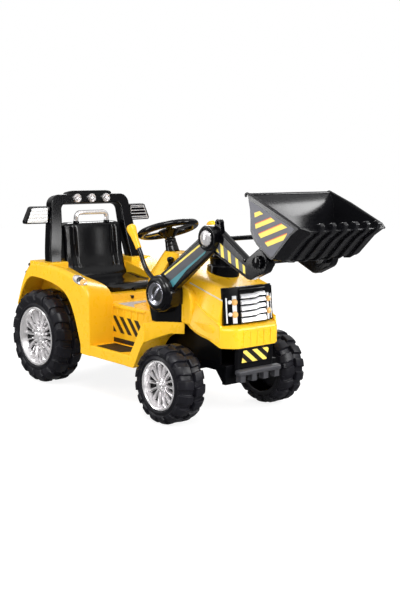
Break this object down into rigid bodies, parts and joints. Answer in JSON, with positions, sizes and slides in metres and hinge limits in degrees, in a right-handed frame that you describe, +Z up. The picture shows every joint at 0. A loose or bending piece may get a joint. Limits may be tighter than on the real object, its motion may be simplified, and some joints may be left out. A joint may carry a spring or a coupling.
{
  "type": "kids electric ride-on excavator",
  "caption": "Child's ride-on loader with a seat and roll bar, steered front wheels, and hand-levered arms that carry a tipping bucket.",
  "frame": {"origin": "on the ground under the middle of the vehicle's length and width", "axes": "+X forward to the bucket, +Y to the vehicle's left, +Z up"},
  "size_m": [1.3194, 0.5268, 0.681],
  "materials": {
    "body_yellow": "gloss",
    "gloss_black": "gloss",
    "satin_black": "satin",
    "dark_grey": "satin",
    "tyre_black": "satin",
    "chrome": "polished",
    "steel": "satin",
    "amber": "gloss"
  },
  "bodies": {
    "root": {"body_shell": "body_yellow", "hood": "body_yellow", "nose_skirt": "body_yellow", "dashboard": "body_yellow", "roll_bar": "gloss_black", "light_bar": "gloss_black", "side_lamp_left": "gloss_black", "side_lamp_right": "gloss_black", "seat_back": "gloss_black", "grille_frame": "gloss_black", "air_cleaner": "gloss_black", "steering_column": "gloss_black", "chassis_frame": "satin_black", "battery": "satin_black", "front_axle_beam": "satin_black", "front_valance": "satin_black", "arm_pedestal_left": "satin_black", "arm_pedestal_right": "satin_black", "gear_motor_left": "dark_grey", "gear_motor_right": "dark_grey", "control_box": "dark_grey", "bumper_bar": "dark_grey", "seat_handle": "chrome", "roof_lamps": "chrome", "grille_bars": "chrome", "rear_axle": "steel", "grille_lamp_left": "amber", "grille_lamp_right": "amber"},
    "rear_wheel_left": {"rear_tyre_left": "tyre_black", "rear_hubcap_left": "chrome"},
    "rear_wheel_right": {"rear_tyre_right": "tyre_black", "rear_hubcap_right": "chrome"},
    "knuckle_left": {"steering_knuckle_left": "steel"},
    "knuckle_right": {"steering_knuckle_right": "steel"},
    "front_wheel_left": {"front_tyre_left": "tyre_black", "front_hubcap_left": "chrome"},
    "front_wheel_right": {"front_tyre_right": "tyre_black", "front_hubcap_right": "chrome"},
    "steering": {"steering_wheel": "gloss_black", "steering_shaft": "steel"},
    "horn": {"horn_button": "body_yellow"},
    "tie_rod": {"tie_rod": "steel"},
    "loader_arms": {"boom_left": "gloss_black", "boom_right": "gloss_black", "pivot_lamp_left": "chrome", "pivot_lamp_right": "chrome", "lever_grip_left": "body_yellow", "lever_grip_right": "body_yellow"},
    "loader_forearms": {"forearm_left": "gloss_black", "forearm_right": "gloss_black", "cross_tube": "gloss_black", "elbow_pin_left": "chrome", "elbow_pin_right": "chrome", "wrist_shaft": "satin_black"},
    "bucket": {"bucket": "satin_black"},
    "gear_lever": {"gear_lever": "gloss_black"},
    "foot_pedal": {"foot_pedal": "satin_black"},
    "power_button": {"power_button": "satin_black"},
    "seat_pan": {"seat_pan": "satin_black"},
    "seat_latch": {"seat_latch": "satin_black"}
  },
  "joints": [
    {"name": "rear_wheel_left_spin", "type": "hinge", "parent": "root", "child": "rear_wheel_left", "pos_m": [-0.50225, 0.1925, 0.1575], "axis": [0, 1, 0], "continuous": true},
    {"name": "rear_wheel_right_spin", "type": "hinge", "parent": "root", "child": "rear_wheel_right", "pos_m": [-0.50225, -0.1925, 0.1575], "axis": [0, 1, 0], "continuous": true},
    {"name": "steering_turn", "type": "hinge", "parent": "root", "child": "steering", "pos_m": [-0.09625, 0, 0.54], "axis": [-0.342, 0, 0.9397], "range_deg": [-34, 34]},
    {"name": "knuckle_left_turn", "type": "hinge", "parent": "root", "child": "knuckle_left", "pos_m": [0.16975, 0.138, 0.116], "axis": [0, 0, 1], "range_deg": [-17, 17]},
    {"name": "front_wheel_left_spin", "type": "hinge", "parent": "knuckle_left", "child": "front_wheel_left", "pos_m": [0.16975, 0.208, 0.116], "axis": [0, 1, 0], "continuous": true},
    {"name": "knuckle_right_turn", "type": "hinge", "parent": "root", "child": "knuckle_right", "pos_m": [0.16975, -0.138, 0.116], "axis": [0, 0, 1], "range_deg": [-17, 17]},
    {"name": "front_wheel_right_spin", "type": "hinge", "parent": "knuckle_right", "child": "front_wheel_right", "pos_m": [0.16975, -0.208, 0.116], "axis": [0, 1, 0], "continuous": true},
    {"name": "tie_rod_slide", "type": "slide", "parent": "root", "child": "tie_rod", "axis": [0, 1, 0], "range_m": [-0.014, 0.014]},
    {"name": "horn_press", "type": "slide", "parent": "steering", "child": "horn", "axis": [0.342, 0, -0.9397], "range_m": [0, 0.003], "stiffness_N_per_m": 400, "springref_m": -0.001},
    {"name": "power_press", "type": "slide", "parent": "root", "child": "power_button", "axis": [1, 0, 0], "range_m": [0, 0.003], "stiffness_N_per_m": 400, "springref_m": -0.001},
    {"name": "gear_shift", "type": "hinge", "parent": "root", "child": "gear_lever", "pos_m": [-0.00925, -0.061, 0.428], "axis": [0, 1, 0], "range_deg": [-15, 15]},
    {"name": "pedal_press", "type": "hinge", "parent": "root", "child": "foot_pedal", "pos_m": [-0.09825, 0.185, 0.1845], "axis": [0, 1, 0], "range_deg": [0, 12], "stiffness_Nm_per_rad": 1, "springref_deg": -5.73},
    {"name": "seat_lift", "type": "hinge", "parent": "root", "child": "seat_pan", "pos_m": [-0.44025, 0, 0.358], "axis": [0, -1, 0], "range_deg": [0, 75]},
    {"name": "latch_turn", "type": "hinge", "parent": "seat_pan", "child": "seat_latch", "pos_m": [-0.27175, 0, 0.3285], "axis": [1, 0, 0], "range_deg": [0, 90]},
    {"name": "loader_lift", "type": "hinge", "parent": "root", "child": "loader_arms", "pos_m": [0.08475, 0, 0.369], "axis": [0, -1, 0], "range_deg": [-40, 10]},
    {"name": "loader_elbow", "type": "hinge", "parent": "loader_arms", "child": "loader_forearms", "pos_m": [0.26775, 0, 0.548], "axis": [0, -1, 0], "range_deg": [-8, 20]},
    {"name": "bucket_tilt", "type": "hinge", "parent": "loader_forearms", "child": "bucket", "pos_m": [0.45975, 0, 0.497], "axis": [0, -1, 0], "range_deg": [-40, 15]}
  ],
  "couplings": [
    {"joint": "knuckle_left_turn", "follows": "steering_turn", "ratio": 0.5},
    {"joint": "knuckle_right_turn", "follows": "steering_turn", "ratio": 0.5},
    {"joint": "tie_rod_slide", "follows": "steering_turn", "m_per_rad": -0.0225}
  ]
}
